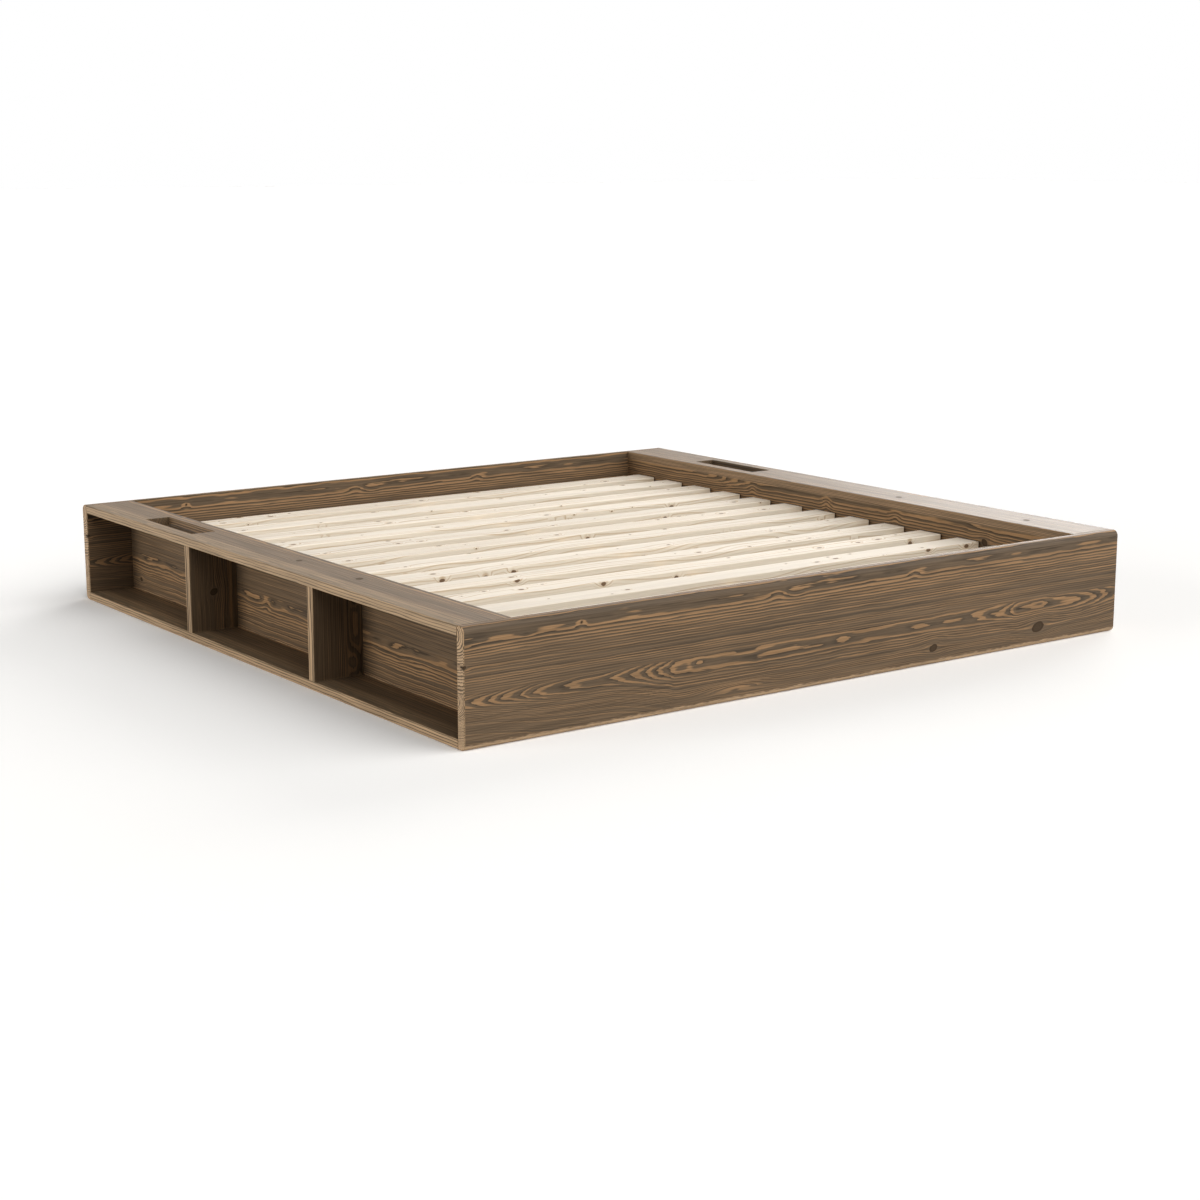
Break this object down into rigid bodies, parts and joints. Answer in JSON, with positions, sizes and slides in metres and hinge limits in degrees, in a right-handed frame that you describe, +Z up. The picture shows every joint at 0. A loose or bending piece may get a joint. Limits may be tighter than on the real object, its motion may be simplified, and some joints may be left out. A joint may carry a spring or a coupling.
{
  "type": "platform bed frame",
  "caption": "Low wooden platform bed: a slatted base between plain end boards, with an open shelf case along each side and a cable slot in each case top.",
  "frame": {"origin": "on the floor at the centre of the footprint", "axes": "+X across the bed to the right-hand case seen from the foot, +Y from foot to head, +Z up"},
  "size_m": [2.102, 2.066, 0.28],
  "materials": {
    "stained_pine": "dark stain, satin lacquer",
    "slat_pine": "planed, unfinished",
    "plain_pine": "planed, unfinished",
    "tenon_beech": "planed, unfinished",
    "zinc_steel": "zinc plated",
    "cast_zinc": "tumbled casting",
    "webbing": "woven polyester",
    "glide_plastic": "moulded"
  },
  "bodies": {
    "root": {"centre_beam": "plain_pine", "centre_leg_1": "plain_pine", "centre_leg_2": "plain_pine", "foot_beam_hanger": "zinc_steel", "footboard": "stained_pine", "hanger_screws": "zinc_steel", "head_beam_hanger": "zinc_steel", "headboard": "stained_pine", "left_cam_bolts": "zinc_steel", "left_cam_locks": "cast_zinc", "left_case_back": "stained_pine", "left_case_bottom": "stained_pine", "left_case_top": "stained_pine", "left_divider_1": "stained_pine", "left_divider_2": "stained_pine", "left_divider_tenons": "tenon_beech", "left_ledge_screws": "zinc_steel", "left_shelf_tenons": "tenon_beech", "left_slat_ledge": "plain_pine", "left_slat_strap": "webbing", "leg_glide_1": "glide_plastic", "leg_glide_2": "glide_plastic", "right_cam_bolts": "zinc_steel", "right_cam_locks": "cast_zinc", "right_case_back": "stained_pine", "right_case_bottom": "stained_pine", "right_case_top": "stained_pine", "right_divider_1": "stained_pine", "right_divider_2": "stained_pine", "right_divider_tenons": "tenon_beech", "right_ledge_screws": "zinc_steel", "right_shelf_tenons": "tenon_beech", "right_slat_ledge": "plain_pine", "right_slat_strap": "webbing", "slat_01": "slat_pine", "slat_02": "slat_pine", "slat_03": "slat_pine", "slat_04": "slat_pine", "slat_05": "slat_pine", "slat_06": "slat_pine", "slat_07": "slat_pine", "slat_08": "slat_pine", "slat_09": "slat_pine", "slat_10": "slat_pine", "slat_11": "slat_pine", "slat_12": "slat_pine", "slat_13": "slat_pine"}
  },
  "joints": []
}
